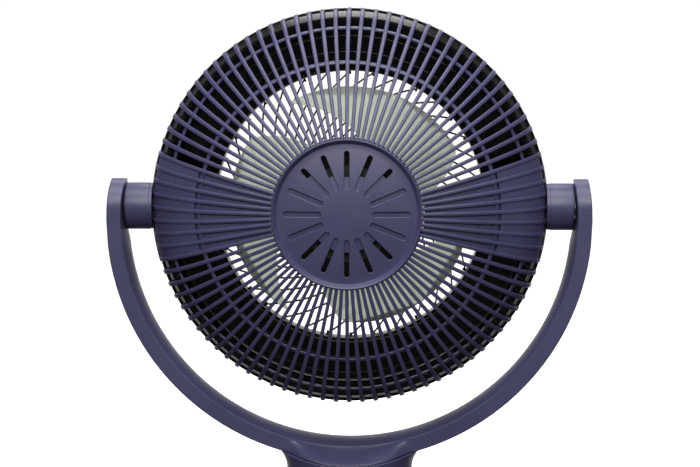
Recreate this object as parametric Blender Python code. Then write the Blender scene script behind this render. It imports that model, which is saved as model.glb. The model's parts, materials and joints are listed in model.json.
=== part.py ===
"""Round air circulator: a tilting fan head in a U-shaped yoke, on a column that swings on a round base.

Metres, +Z up. Air enters through the rear grille, which faces -Y, and leaves towards +Y. The origin is
the centre of the base, where its feet rest. Each moving group hangs from an empty on its joint's axis.
"""

import math

import bmesh
import bpy
from mathutils import Vector

# Clearance between neighbouring solids
GAP = 0.0003

# Head, measured from the tilt axis
PIVOT_HEIGHT = 0.300
GRILLE_RADIUS = 0.167
GRILLE_DEPTH = 0.080
GRILLE_THICKNESS = 0.004
RIB_COUNT = 92
RIB_WIDTH_AT_COVER = 0.0024
RIB_WIDTH_AT_RIM = 0.0030
RING_WIDTH = 0.0036
COVER_RING_RADIUS = 0.0636
INNER_RING_RADIUS = 0.1250
OUTER_RING_RADIUS = 0.1530
WEDGE_RIBS = 4
OUTLET_RADIUS = 0.113
SHROUD_FRONT = 0.024

# Spiral front grille
SPIRAL_COUNT = 36
SPIRAL_SLOPE = math.radians(50)
SPIRAL_WIDTH = 0.0022
CAP_RADIUS = 0.036

# Motor and impeller
COVER_RADIUS = 0.0632
SLOT_COUNT = 16
SLOT_WIDTH = 0.004
THROUGH_SLOT_START = 0.0315
THROUGH_SLOT_END = 0.0530
MOTOR_RADIUS = 0.047
SHAFT_RADIUS = 0.004
HUB_RADIUS = 0.0445
BLADE_TIP_RADIUS = 0.100
BLADE_COUNT = 3
BLADE_THICKNESS = 0.0022

# Yoke: an arc about a centre a little below the tilt axis
YOKE_DROP = 0.0095
YOKE_OUTER = 0.2035
YOKE_INNER = 0.1915
YOKE_HALF_DEPTH = 0.023
YOKE_WALL = 0.003
YOKE_CROWN = 0.0012
BOSS_RADIUS = 0.0197
BOSS_START = 0.1676
BOSS_END = 0.1880
PIN_RADIUS = 0.006

# Column and base
COLUMN_RADIUS = 0.053
COLUMN_FOOT = 0.0365
BOLT_OFFSET = 0.022
SPIGOT_RADIUS = 0.024
BASE_RADIUS = 0.125
BASE_TOP = 0.034
BASE_WALL = 0.0028
BASE_UNDERSIDE = 0.0042
PLATE_TOP = 0.007
FOOT_DISTANCE = 0.100
PANEL_CENTRE = 0.088
PANEL_HALF = (0.042, 0.013)
BUTTON_PITCH = 0.019
BUTTON_RADIUS = 0.0062
INLET_HEIGHT = 0.0145

# Oscillation gears
GEAR_MODULE = 0.0015
SECTOR_TEETH = 48
PINION_TEETH = 12
GEAR_PLAY = 0.0006
PINION_DISTANCE = GEAR_MODULE * (SECTOR_TEETH + PINION_TEETH) / 2 + GEAR_PLAY

# Steps round a turned piece
WIDE = 40
MIDDLE = 32
RING = 24
SMALL = 20
TINY = 16

AXES = {
    "X": (Vector((1, 0, 0)), Vector((0, 0, 1))),
    "Y": (Vector((0, 1, 0)), Vector((1, 0, 0))),
    "Z": (Vector((0, 0, 1)), Vector((1, 0, 0))),
}


def clear_scene():
    for obj in list(bpy.data.objects):
        bpy.data.objects.remove(obj)


def finish_named(name, colour, roughness, metallic=0.0):
    material = bpy.data.materials.new(name)
    material.use_nodes = True
    shader = material.node_tree.nodes["Principled BSDF"]
    shader.inputs["Base Color"].default_value = (*colour, 1.0)
    shader.inputs["Roughness"].default_value = roughness
    shader.inputs["Metallic"].default_value = metallic
    material.diffuse_color = (*colour, 1.0)
    return material


def axis_empty(name, location, parent=None):
    empty = bpy.data.objects.new(name, None)
    empty.empty_display_size = 0.02
    empty.location = location
    empty.parent = parent
    bpy.context.scene.collection.objects.link(empty)
    return empty


def add_object(name, bm, finish, parent, crease=35.0):
    """Turns a bmesh into a smooth-shaded object under its parent, in the parent's own coordinates."""
    bmesh.ops.remove_doubles(bm, verts=bm.verts, dist=1e-6)
    bmesh.ops.recalc_face_normals(bm, faces=bm.faces)
    mesh = bpy.data.meshes.new(name)
    bm.to_mesh(mesh)
    bm.free()
    mesh.shade_smooth()
    mesh.set_sharp_from_angle(angle=math.radians(crease))
    obj = bpy.data.objects.new(name, mesh)
    obj.parent = parent
    if finish:
        mesh.materials.append(finish)
    bpy.context.scene.collection.objects.link(obj)
    return obj


def make_helper(obj):
    obj.hide_render = True
    obj.display_type = "WIRE"
    return obj


def combine(obj, other, operation="DIFFERENCE"):
    modifier = obj.modifiers.new(other.name, "BOOLEAN")
    modifier.operation = operation
    modifier.object = make_helper(other)
    return obj


def spin_outline(bm, outline, axis, steps, centre=(0, 0, 0)):
    """Spins (radius, height) points about an axis. An outline that leaves the axis is closed first."""
    along, outward = AXES[axis]
    verts = [bm.verts.new(Vector(centre) + along * h + outward * r) for r, h in outline]
    pairs = list(zip(verts, verts[1:]))
    if outline[0][0] > 0 or outline[-1][0] > 0:
        pairs.append((verts[-1], verts[0]))
    edges = [bm.edges.new(pair) for pair in pairs]
    bmesh.ops.spin(
        bm,
        geom=verts + edges,
        cent=centre,
        axis=along,
        angle=2 * math.pi,
        steps=steps,
        use_merge=True,
    )


def turned(name, outline, axis, steps, finish, parent, crease=35.0):
    bm = bmesh.new()
    spin_outline(bm, outline, axis, steps)
    return add_object(name, bm, finish, parent, crease)


def rod(radius, start, end):
    """Outline of a solid cylinder."""
    return [(0, start), (radius, start), (radius, end), (0, end)]


def tube(inner, outer, start, end):
    """Outline of a plain ring."""
    return [(inner, start), (outer, start), (outer, end), (inner, end)]


def extrude_outline(bm, points, low, high):
    verts = [bm.verts.new((x, y, low)) for x, y in points]
    face = bm.faces.new(verts)
    raised = bmesh.ops.extrude_face_region(bm, geom=[face])["geom"]
    moved = [item for item in raised if isinstance(item, bmesh.types.BMVert)]
    bmesh.ops.translate(bm, verts=moved, vec=(0, 0, high - low))


def add_box(bm, low, high):
    corners = [(low[0], low[1]), (high[0], low[1]), (high[0], high[1]), (low[0], high[1])]
    extrude_outline(bm, corners, low[2], high[2])


def block(name, low, high, finish, parent):
    bm = bmesh.new()
    add_box(bm, low, high)
    return add_object(name, bm, finish, parent)


def loft(name, sections, finish, parent, crease=35.0):
    """Joins closed sections of equal length into one solid with flat ends."""
    bm = bmesh.new()
    rings = [[bm.verts.new(point) for point in section] for section in sections]
    for first, second in zip(rings, rings[1:]):
        for i in range(len(first)):
            j = (i + 1) % len(first)
            bm.faces.new((first[i], first[j], second[j], second[i]))
    bm.faces.new(rings[0])
    bm.faces.new(rings[-1][::-1])
    return add_object(name, bm, finish, parent, crease)


# Grilles ---------------------------------------------------------------------------------------------


def lattice(name, rows, angle_of, count, is_solid, finish, parent):
    """A curved plate about the Y axis, pierced between its bars, which are V-shaped on the inner side.

    rows holds (outer point, inner point) pairs of (radius, y). angle_of(bar, side, radius) gives where
    a bar's edge lies. is_solid(band, bar) says whether the gap after that bar is filled in that band.
    """
    bm = bmesh.new()

    def vertex(angle, point):
        return bm.verts.new((point[0] * math.cos(angle), point[1], point[0] * math.sin(angle)))

    outer = []
    inner = []
    for top, under in rows:
        edges = [(bar, side) for bar in range(count) for side in (-1, 1)]
        outer.append([vertex(angle_of(bar, side, top[0]), top) for bar, side in edges])
        inner.append([vertex(angle_of(bar, 0, under[0]), under) for bar in range(count)])

    def corner(band, cell):
        cell %= 2 * count
        return outer[band][cell], inner[band][cell // 2]

    def filled(band, cell):
        if not 0 <= band < len(rows) - 1:
            return False
        return cell % 2 == 0 or is_solid(band, (cell % (2 * count)) // 2)

    def add_face(*verts):
        distinct = list(dict.fromkeys(verts))
        if len(distinct) > 2:
            bm.faces.new(distinct)

    for band in range(len(rows) - 1):
        for cell in range(2 * count):
            if not filled(band, cell):
                continue
            places = [(band, cell), (band, cell + 1), (band + 1, cell + 1), (band + 1, cell)]
            corners = [corner(*place) for place in places]
            add_face(*[pair[0] for pair in corners])
            if cell % 2:
                add_face(*[pair[1] for pair in corners[::-1]])
            beside = [(band - 1, cell), (band, cell + 1), (band + 1, cell), (band, cell - 1)]
            for edge, neighbour in enumerate(beside):
                if not filled(*neighbour):
                    a = corners[edge]
                    b = corners[(edge + 1) % 4]
                    add_face(a[0], a[1], b[1], b[0])
    return add_object(name, bm, finish, parent, 30.0)


def dome_row(radius):
    """Outer and inner point of the rear grille at a radius, the inner one set in along the normal."""
    across = radius / GRILLE_RADIUS
    depth = GRILLE_DEPTH * math.sqrt(1 - across**2)
    slope = Vector((across / GRILLE_RADIUS, depth / GRILLE_DEPTH**2)).normalized()
    inner = Vector((radius, depth)) - slope * GRILLE_THICKNESS
    return (radius, -depth), (inner.x, -inner.y)


def make_rear_grille(finish, parent):
    half_ring = RING_WIDTH / 2
    radii = [COVER_RING_RADIUS, COVER_RING_RADIUS + RING_WIDTH]
    radii += [INNER_RING_RADIUS - half_ring, INNER_RING_RADIUS + half_ring]
    radii += [OUTER_RING_RADIUS - half_ring, OUTER_RING_RADIUS + half_ring, 0.1625]
    rows = [dome_row(radius) for radius in radii]
    cover_side = rows[0]
    rows[0] = (cover_side[0], (COVER_RING_RADIUS, cover_side[1][1]))
    rim_inner = GRILLE_RADIUS - GRILLE_THICKNESS - 0.0006
    rows.append(((GRILLE_RADIUS - 0.0002, -0.0040), (rim_inner, -0.0040)))
    rows.append(((GRILLE_RADIUS - 0.0006, 0.0010), (rim_inner, 0.0010)))
    rings = {0, 2, 4, len(rows) - 2}
    wedge_bands = range(len(rows) - 3)

    def angle_of(bar, side, radius):
        share = (radius - COVER_RING_RADIUS) / (GRILLE_RADIUS - COVER_RING_RADIUS)
        width = RIB_WIDTH_AT_COVER + (RIB_WIDTH_AT_RIM - RIB_WIDTH_AT_COVER) * share
        return 2 * math.pi * bar / RIB_COUNT + side * width / (2 * radius)

    def is_solid(band, bar):
        if band in rings:
            return True
        from_side = (bar + WEDGE_RIBS) % (RIB_COUNT // 2)
        return band in wedge_bands and from_side < 2 * WEDGE_RIBS

    return lattice("rear_grille", rows, angle_of, RIB_COUNT, is_solid, finish, parent)


def make_front_grille(finish, parent):
    ring_outer = OUTLET_RADIUS - 2 * GAP
    radii = [CAP_RADIUS, CAP_RADIUS + 0.004, 0.070, ring_outer - 0.004, ring_outer]

    def row_at(radius):
        rise = 0.011 * (1 - (radius / OUTLET_RADIUS) ** 2)
        return (radius, SHROUD_FRONT + 0.0025 + rise), (radius, SHROUD_FRONT - 0.0015 + rise)

    rows = [row_at(radius) for radius in radii]

    def angle_of(bar, side, radius):
        swirl = math.tan(SPIRAL_SLOPE) * math.log(OUTLET_RADIUS / radius)
        width = SPIRAL_WIDTH / math.cos(SPIRAL_SLOPE)
        return 2 * math.pi * bar / SPIRAL_COUNT + swirl + side * width / (2 * radius)

    rings = {0, len(rows) - 2}
    return lattice(
        "front_grille", rows, angle_of, SPIRAL_COUNT, lambda band, bar: band in rings, finish, parent
    )


def make_shroud(finish, parent):
    """Inlet bell and outlet duct in one thin moulding, with the flange that the rear grille closes on."""
    rear_side = [
        (OUTLET_RADIUS, SHROUD_FRONT),
        (OUTLET_RADIUS + 0.0002, 0.0040),
        (0.1190, -0.0060),
        (0.1320, -0.0115),
        (0.1480, -0.0117),
        (0.1580, -0.0050),
        (0.1608, 0.0015),
        (0.1655, 0.0023),
    ]
    front_side = [
        (0.1655, 0.0050),
        (0.1592, 0.0050),
        (0.1550, -0.0042),
        (0.1472, -0.0091),
        (0.1328, -0.0089),
        (0.1207, -0.0040),
        (0.1157, 0.0050),
        (0.1155, SHROUD_FRONT),
    ]
    return turned("shroud", rear_side + front_side, "Y", WIDE, finish, parent)


def make_front_bezel(finish, parent):
    front_side = [
        (0.1655, 0.0053),
        (0.1630, 0.0170),
        (0.1520, 0.0290),
        (0.1350, 0.0345),
        (0.1190, 0.0325),
        (0.1133, 0.0243),
    ]
    rear_side = [
        (0.1160, 0.0243),
        (0.1200, 0.0295),
        (0.1350, 0.0317),
        (0.1505, 0.0264),
        (0.1604, 0.0155),
        (0.1629, 0.0053),
    ]
    return turned("front_bezel", front_side + rear_side, "Y", WIDE, finish, parent)


# Motor and impeller ----------------------------------------------------------------------------------


def cover_face(radius):
    """Height along Y of the motor cover's shallow dome."""
    return -0.0725 - 0.0055 * (1 - (radius / 0.058) ** 2)


def make_motor_cover(finish, parent):
    wall = 0.0022
    face = [(radius, cover_face(radius)) for radius in (0, 0.025, 0.0580)]
    rim = [(0.0598, -0.0755), (0.0618, -0.0765), (COVER_RADIUS, -0.0750), (COVER_RADIUS, -0.0665)]
    under = [(COVER_RADIUS - wall, -0.0665), (COVER_RADIUS - wall, -0.0712)]
    under += [(radius, cover_face(radius) + wall) for radius in (0.0580, 0.025, 0)]
    cover = turned("motor_cover", face + rim + under, "Y", MIDDLE, finish, parent, 25.0)
    bm = bmesh.new()
    pitch = 2 * math.pi / SLOT_COUNT
    for index in range(SLOT_COUNT):
        angle = index * pitch
        if abs(math.sin(angle)) < math.sin(1.5 * pitch):
            continue
        along = Vector((math.cos(angle), 0, math.sin(angle)))
        across = Vector((-math.sin(angle), 0, math.cos(angle))) * SLOT_WIDTH / 2
        ends = (along * THROUGH_SLOT_START, along * THROUGH_SLOT_END)
        corners = [ends[0] - across, ends[1] - across, ends[1] + across, ends[0] + across]
        face = bm.faces.new([bm.verts.new(corner - Vector((0, 0.082, 0))) for corner in corners])
        raised = bmesh.ops.extrude_face_region(bm, geom=[face])["geom"]
        moved = [item for item in raised if isinstance(item, bmesh.types.BMVert)]
        bmesh.ops.translate(bm, verts=moved, vec=(0, 0.015, 0))
    return combine(cover, add_object("motor_cover_slots", bm, None, parent))


def make_motor(finishes, parent):
    bracket = [
        (0.0125, -0.0630),
        (0.0668, -0.0630),
        (0.0668, -0.0692),
        (0.0640, -0.0692),
        (0.0640, -0.0660),
        (0.0125, -0.0660),
    ]
    turned("motor_bracket", bracket, "Y", RING, finishes["black"], parent)
    turned("motor_board", tube(0.0130, 0.0400, -0.0679, -0.0663), "Y", SMALL, finishes["board"], parent)
    wall = 0.0020
    seat = 0.0115
    rear_can = [
        (seat, -0.0627),
        (MOTOR_RADIUS, -0.0627),
        (MOTOR_RADIUS, -0.0462),
        (MOTOR_RADIUS - wall, -0.0462),
        (MOTOR_RADIUS - wall, -0.0607),
        (seat + wall, -0.0607),
        (seat + wall, -0.0560),
        (seat, -0.0560),
    ]
    turned("motor_rear_can", rear_can, "Y", RING, finishes["steel"], parent)
    front_can = [
        (seat, -0.0300),
        (seat, -0.0368),
        (seat + wall, -0.0368),
        (seat + wall, -0.0320),
        (MOTOR_RADIUS - wall, -0.0320),
        (MOTOR_RADIUS - wall, -0.0459),
        (MOTOR_RADIUS, -0.0459),
        (MOTOR_RADIUS, -0.0300),
    ]
    turned("motor_front_can", front_can, "Y", RING, finishes["steel"], parent)
    turned("stator_core", tube(0.0290, 0.0447, -0.0535, -0.0385), "Y", RING, finishes["iron"], parent)
    for name, start, end in (("rear", -0.0590, -0.0538), ("front", -0.0382, -0.0330)):
        ring = tube(0.0300, 0.0420, start, end)
        turned("stator_winding_" + name, ring, "Y", SMALL, finishes["copper"], parent)
    for name, start, end in (("rear", -0.0620, -0.0562), ("front", -0.0366, -0.0308)):
        ring = tube(SHAFT_RADIUS + GAP, seat - GAP, start, end)
        turned("bearing_" + name, ring, "Y", TINY, finishes["steel"], parent)


def blade_corner(radius):
    """Trailing and leading edge angles of a blade at a radius, in radians."""
    inboard = (BLADE_TIP_RADIUS - radius) / 0.046
    trailing = math.radians(25.9 - 25.0 * inboard)
    leading = math.radians(121.2 - 44.0 * inboard)
    return trailing, leading


def blade_sections():
    """Chordwise sections of one blade from inside the hub wall to the tip."""
    sections = []
    chord_steps = 6
    for span in range(4):
        radius = 0.0430 + (BLADE_TIP_RADIUS - 0.0430) * span / 3
        trailing, leading = blade_corner(radius)
        rise = 0.040
        front = []
        rear = []
        for step in range(chord_steps + 1):
            share = step / chord_steps
            angle = trailing + (leading - trailing) * share
            camber = 0.006 * math.sin(math.pi * share)
            y = 0.0125 - rise * share - camber + 0.002
            half = BLADE_THICKNESS / 2 * (0.45 + 0.55 * math.sin(math.pi * share))
            x, z = radius * math.cos(angle), radius * math.sin(angle)
            front.append((x, y + half, z))
            rear.append((x, y - half, z))
        sections.append(front + rear[::-1])
    return sections


def make_impeller(finish, parent):
    outline = [
        (HUB_RADIUS, -0.0275),
        (HUB_RADIUS, 0.0080),
        (0.0380, 0.0160),
        (SHAFT_RADIUS + GAP, 0.0160),
        (SHAFT_RADIUS + GAP, -0.0100),
        (0.0100, -0.0100),
        (0.0100, 0.0125),
        (0.0365, 0.0125),
        (HUB_RADIUS - 0.003, 0.0065),
        (HUB_RADIUS - 0.003, -0.0275),
    ]
    hub = turned("impeller", outline, "Y", MIDDLE, finish, parent)
    for index in range(BLADE_COUNT):
        blade = loft("impeller_blade_%d" % (index + 1), blade_sections(), None, parent)
        blade.rotation_euler = (0, -2 * math.pi * index / BLADE_COUNT, 0)
        combine(hub, blade, "UNION")
    return hub


def make_rotor(finishes, parent):
    make_impeller(finishes["impeller"], parent)
    turned("motor_shaft", rod(SHAFT_RADIUS, -0.0622, 0.0228), "Y", TINY, finishes["steel"], parent)
    bore = SHAFT_RADIUS + GAP
    turned("rotor_core", tube(bore, 0.0282, -0.0545, -0.0375), "Y", SMALL, finishes["iron"], parent)
    hexagon_bore = bore / math.cos(math.pi / 6)
    nut = tube(hexagon_bore, 0.0085, 0.0163, 0.0225)
    turned("impeller_nut", nut, "Y", 6, finishes["steel"], parent)


# Yoke and pivots -------------------------------------------------------------------------------------


def hub_depth(x):
    """Half depth that the yoke's foot swells to at its outer edge, blended into the plain arm."""
    sharpness = 0.004
    round_part = math.sqrt(max(COLUMN_RADIUS**2 - x**2, 0.0))
    lift = (round_part - YOKE_HALF_DEPTH) / sharpness
    if lift > 30:
        return round_part
    return YOKE_HALF_DEPTH + sharpness * math.log1p(math.exp(lift))


def yoke_stations(tip_radius):
    """Stations from one arm tip to the other: (height above the pivot or None, arc angle, half depth)."""
    tip_steps = [75, 58, 38, 18, 0]
    tip = [(tip_radius * math.sin(math.radians(t)), None, math.radians(t)) for t in tip_steps]
    angles = [74, 63, 52, 42, 33, 25, 19, 16.5, 14.5, 13, 11, 8, 4]
    below = [(-0.016, None, 0.0)]
    half = tip + below + [(None, math.radians(angle), 0.0) for angle in angles]
    right = [(station, 1) for station in half] + [((None, 0.0, 0.0), 1)]
    return right + [(station, -1) for station in half[::-1]]


def yoke_point(station, side, radius, y):
    height, angle, _ = station
    if height is None:
        return (side * radius * math.sin(angle), y, -YOKE_DROP - radius * math.cos(angle))
    return (side * math.sqrt(radius**2 - (height + YOKE_DROP) ** 2), y, height)


def yoke_body(name, inner, outer, half_depth, swell, levels, crown, finish, parent):
    """Sweeps the yoke's section from arm tip to arm tip. levels are shares of the way outwards."""
    sections = []
    for station, side in yoke_stations(half_depth):
        plain = half_depth * math.cos(station[2])
        rear = []
        for share, inset in levels:
            radius = inner + (outer - inner) * share
            point = yoke_point(station, side, radius, 0.0)
            grown = 0.0
            if swell and station[0] is None:
                rise = math.sqrt(1 - (1 - share) ** 2)
                grown = (hub_depth(point[0]) - YOKE_HALF_DEPTH) * rise
            rear.append((point[0], -max(plain + grown - inset, 0.0002), point[2]))
        front = [(x, -y, z) for x, y, z in rear[::-1]]
        section = rear + front
        if crown:
            section.append(yoke_point(station, side, inner - crown, 0.0))
        sections.append(section)
    return loft(name, sections, finish, parent)


def make_yoke(finishes, parent):
    rounded = [(0.0, 0.0004), (0.06, 0.0), (0.35, 0.0), (0.70, 0.0), (0.90, 0.0), (1.0, 0.0012)]
    frame = yoke_body(
        "yoke_frame", YOKE_INNER, YOKE_OUTER, YOKE_HALF_DEPTH, True, rounded, 0.0, finishes["shell"], parent
    )
    square = [(0.0, 0.0), (1.0, 0.0)]
    hollow_depth = YOKE_HALF_DEPTH - YOKE_WALL
    floor = YOKE_OUTER - YOKE_WALL
    hollow = yoke_body(
        "yoke_hollow", YOKE_INNER - 0.006, floor, hollow_depth, False, square, 0.0, None, parent
    )
    combine(frame, hollow)
    combine(frame, make_bolt_holes("yoke_bolt_holes", parent))
    cover = yoke_body(
        "yoke_inner_cover",
        YOKE_INNER,
        YOKE_INNER + 0.002,
        hollow_depth - GAP,
        False,
        square,
        YOKE_CROWN,
        finishes["shell"],
        parent,
    )
    bm = bmesh.new()
    spin_outline(bm, rod(PIN_RADIUS + GAP, -YOKE_OUTER - 0.01, YOKE_OUTER + 0.01), "X", SMALL)
    combine(cover, add_object("pin_holes", bm, None, parent))


def make_bolt_holes(name, parent):
    bm = bmesh.new()
    for x in (-BOLT_OFFSET, BOLT_OFFSET):
        spin_outline(bm, rod(0.0028, -YOKE_OUTER - 0.04, -YOKE_INNER + 0.02), "Z", TINY, (x, 0, 0))
    return add_object(name, bm, None, parent)


def make_bolts(finishes, parent):
    for name, side in (("left", -1), ("right", 1)):
        outline = [
            (0, -0.2220),
            (0.0025, -0.2220),
            (0.0025, -0.2077),
            (0.0050, -0.2077),
            (0.0050, -0.2040),
            (0, -0.2040),
        ]
        bolt = turned("column_bolt_" + name, outline, "Z", TINY, finishes["steel"], parent)
        bolt.location.x = side * BOLT_OFFSET


def make_pivots(finishes, stand_pivot, head):
    washer = 0.0008
    for name, side in (("left", -1), ("right", 1)):
        floor = side * (YOKE_OUTER - YOKE_WALL - 2 * GAP)
        pin = rod(PIN_RADIUS, side * 0.1762, floor)
        turned("pivot_pin_" + name, pin, "X", TINY, finishes["steel"], stand_pivot)
        start = side * (BOSS_END + GAP)
        ring = tube(PIN_RADIUS + GAP, 0.0100, start, start + side * washer)
        turned("friction_washer_" + name, ring, "X", SMALL, finishes["rubber"], stand_pivot)
        boss = [
            (0, side * BOSS_START),
            (BOSS_RADIUS, side * BOSS_START),
            (BOSS_RADIUS, side * (BOSS_END - 0.001)),
            (BOSS_RADIUS - 0.001, side * BOSS_END),
            (PIN_RADIUS + GAP, side * BOSS_END),
            (PIN_RADIUS + GAP, side * 0.1757),
            (0, side * 0.1757),
        ]
        turned("pivot_boss_" + name, boss, "X", RING, finishes["shell"], head)


# Column and base -------------------------------------------------------------------------------------


def make_column(finishes, parent):
    outline = rod(COLUMN_RADIUS, COLUMN_FOOT, 0.112)
    column = turned("column_shell", outline, "Z", WIDE, finishes["shell"], parent)
    saddle_centre = (0, 0, PIVOT_HEIGHT - YOKE_DROP)
    top = YOKE_OUTER + GAP
    wall = 0.003
    bm = bmesh.new()
    spin_outline(bm, rod(COLUMN_RADIUS - wall, COLUMN_FOOT - 0.01, 0.110), "Z", WIDE)
    cavity = add_object("column_cavity", bm, None, parent)
    for name, target, radius in (("saddle_inner", cavity, top + wall), ("saddle", column, top)):
        bm = bmesh.new()
        spin_outline(bm, rod(radius, -0.080, 0.080), "Y", 200, saddle_centre)
        combine(target, add_object(name, bm, None, parent))
    combine(column, cavity)
    holes = make_bolt_holes("column_bolt_holes", parent)
    holes.location.z = PIVOT_HEIGHT
    combine(column, holes)
    flange = COLUMN_RADIUS - wall - GAP
    bore = 0.014
    spigot = [
        (bore, 0.0155),
        (SPIGOT_RADIUS, 0.0155),
        (SPIGOT_RADIUS, 0.0160),
        (SPIGOT_RADIUS - 0.0013, 0.0160),
        (SPIGOT_RADIUS - 0.0013, 0.0190),
        (SPIGOT_RADIUS, 0.0190),
        (SPIGOT_RADIUS, COLUMN_FOOT),
        (flange, COLUMN_FOOT),
        (flange, COLUMN_FOOT + 0.004),
        (bore, COLUMN_FOOT + 0.004),
    ]
    turned("turntable_spigot", spigot, "Z", RING, finishes["black"], parent)
    ring = tube(SPIGOT_RADIUS - 0.0010, 0.0290, 0.0163, 0.0187)
    turned("retaining_ring", ring, "Z", SMALL, finishes["steel"], parent)
    ring = tube(SPIGOT_RADIUS + GAP, 0.0315, 0.0248, 0.0277)
    turned("thrust_washer", ring, "Z", SMALL, finishes["white"], parent)


def gear_outline(teeth, first, last, phase):
    """Trapezoid teeth numbered first to last on a gear of the given full tooth count."""
    pitch_radius = GEAR_MODULE * teeth / 2
    tip = pitch_radius + 0.75 * GEAR_MODULE
    root = pitch_radius - 1.10 * GEAR_MODULE
    pitch = 2 * math.pi / teeth
    points = []
    for tooth in range(first, last + 1):
        middle = phase + tooth * pitch
        for radius, share in ((root, -0.27), (tip, -0.13), (tip, 0.13), (root, 0.27)):
            angle = middle + share * pitch
            points.append((radius * math.cos(angle), radius * math.sin(angle)))
    return points


def make_gears(finishes, stand, pinion):
    behind = -math.pi / 2
    pitch = 2 * math.pi / SECTOR_TEETH
    half_count = 8
    points = gear_outline(SECTOR_TEETH, -half_count, half_count - 1, behind + pitch / 2)
    edge = behind + (half_count + 0.5) * pitch
    plain_steps = 16
    for step in range(plain_steps + 1):
        angle = edge + (2 * math.pi - (2 * half_count + 1) * pitch) * step / plain_steps
        points.append((0.0305 * math.cos(angle), 0.0305 * math.sin(angle)))
    bm = bmesh.new()
    extrude_outline(bm, points, 0.0195, 0.0245)
    sector = add_object("sector_gear", bm, finishes["white"], stand)
    bm = bmesh.new()
    spin_outline(bm, rod(SPIGOT_RADIUS + GAP, 0.010, 0.030), "Z", MIDDLE)
    combine(sector, add_object("sector_bore", bm, None, stand))
    bm = bmesh.new()
    extrude_outline(bm, gear_outline(PINION_TEETH, 0, PINION_TEETH - 1, math.pi / 2), 0.0153, 0.0250)
    add_object("drive_pinion", bm, finishes["white"], pinion)


def make_base(finishes, parent):
    side_top = 0.022
    corner = BASE_TOP - side_top
    bends = [math.radians(a) for a in (0, 30, 60, 90)]
    outer = [(BASE_RADIUS - 0.0010, BASE_UNDERSIDE), (BASE_RADIUS, 0.0056)]
    centre = BASE_RADIUS - corner
    outer += [(centre + corner * math.cos(a), side_top + corner * math.sin(a)) for a in bends]
    hole = SPIGOT_RADIUS + 0.004
    inner_corner = corner - BASE_WALL
    inner = [(hole, BASE_TOP), (hole, BASE_TOP - BASE_WALL)]
    for a in bends[::-1]:
        inner.append((centre + inner_corner * math.cos(a), side_top + inner_corner * math.sin(a)))
    inner.append((BASE_RADIUS - BASE_WALL, BASE_UNDERSIDE))
    shell = turned("base_shell", outer + inner, "Z", WIDE, finishes["shell"], parent)
    half_x, half_y = PANEL_HALF
    bm = bmesh.new()
    low = (-half_x - GAP, PANEL_CENTRE - half_y - GAP, 0.028)
    add_box(bm, low, (half_x + GAP, PANEL_CENTRE + half_y + GAP, 0.040))
    combine(shell, add_object("panel_opening", bm, None, parent))
    bm = bmesh.new()
    spin_outline(bm, rod(0.0056, -0.132, -0.115), "Y", TINY, (0, 0, INLET_HEIGHT))
    combine(shell, add_object("inlet_opening", bm, None, parent))
    plate_radius = BASE_RADIUS - BASE_WALL - GAP
    turned("base_plate", rod(plate_radius, BASE_UNDERSIDE, PLATE_TOP), "Z", WIDE, finishes["black"], parent)
    ballast = tube(0.068, 0.104, PLATE_TOP + GAP, 0.0153)
    turned("ballast_ring", ballast, "Z", MIDDLE, finishes["iron"], parent)
    for index in range(4):
        angle = math.radians(45 + 90 * index)
        pad = [(0, 0), (0.0085, 0), (0.0095, 0.0010), (0.0095, 0.0039), (0, 0.0039)]
        foot = turned("foot_%d" % (index + 1), pad, "Z", TINY, finishes["rubber"], parent)
        foot.location = (FOOT_DISTANCE * math.cos(angle), FOOT_DISTANCE * math.sin(angle), 0)
    bearing = [
        (SPIGOT_RADIUS + GAP, 0.0280),
        (hole - GAP, 0.0280),
        (hole - GAP, BASE_TOP + GAP),
        (0.0460, BASE_TOP + GAP),
        (0.0460, COLUMN_FOOT - GAP),
        (SPIGOT_RADIUS + GAP, COLUMN_FOOT - GAP),
    ]
    turned("turntable_bearing", bearing, "Z", MIDDLE, finishes["white"], parent)
    motor = turned(
        "oscillation_motor", rod(0.0165, PLATE_TOP + GAP, 0.0150), "Z", SMALL, finishes["steel"], parent
    )
    motor.location.y = -PINION_DISTANCE
    inlet = [
        (0.0012, -0.1258),
        (0.0052, -0.1258),
        (0.0052, -0.1100),
        (0, -0.1100),
        (0, -0.1140),
        (0.0012, -0.1140),
    ]
    jack = turned("power_inlet", inlet, "Y", TINY, finishes["black"], parent)
    jack.location.z = INLET_HEIGHT


def make_controls(finishes, base, buttons):
    half_x, half_y = PANEL_HALF
    low = (-half_x, PANEL_CENTRE - half_y, 0.0316)
    panel = block("control_panel", low, (half_x, PANEL_CENTRE + half_y, 0.0343), finishes["black"], base)
    bm = bmesh.new()
    bore = rod(BUTTON_RADIUS + GAP, 0.025, 0.040)
    for button in buttons.values():
        spin_outline(bm, bore, "Z", TINY, (button.location.x, PANEL_CENTRE, 0))
    combine(panel, add_object("button_holes", bm, None, base))
    low = (-half_x - 0.002, PANEL_CENTRE - half_y - 0.002, 0.0240)
    high = (half_x + 0.002, PANEL_CENTRE + half_y + 0.002, 0.0256)
    block("control_board", low, high, finishes["board"], base)
    for name, button in buttons.items():
        cap = [
            (0, 0.0295),
            (0.0078, 0.0295),
            (0.0078, 0.0312),
            (BUTTON_RADIUS, 0.0312),
            (BUTTON_RADIUS, 0.0352),
            (BUTTON_RADIUS - 0.0008, 0.0358),
            (0, 0.0358),
        ]
        turned(name, cap, "Z", TINY, finishes["button"], button)


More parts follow.
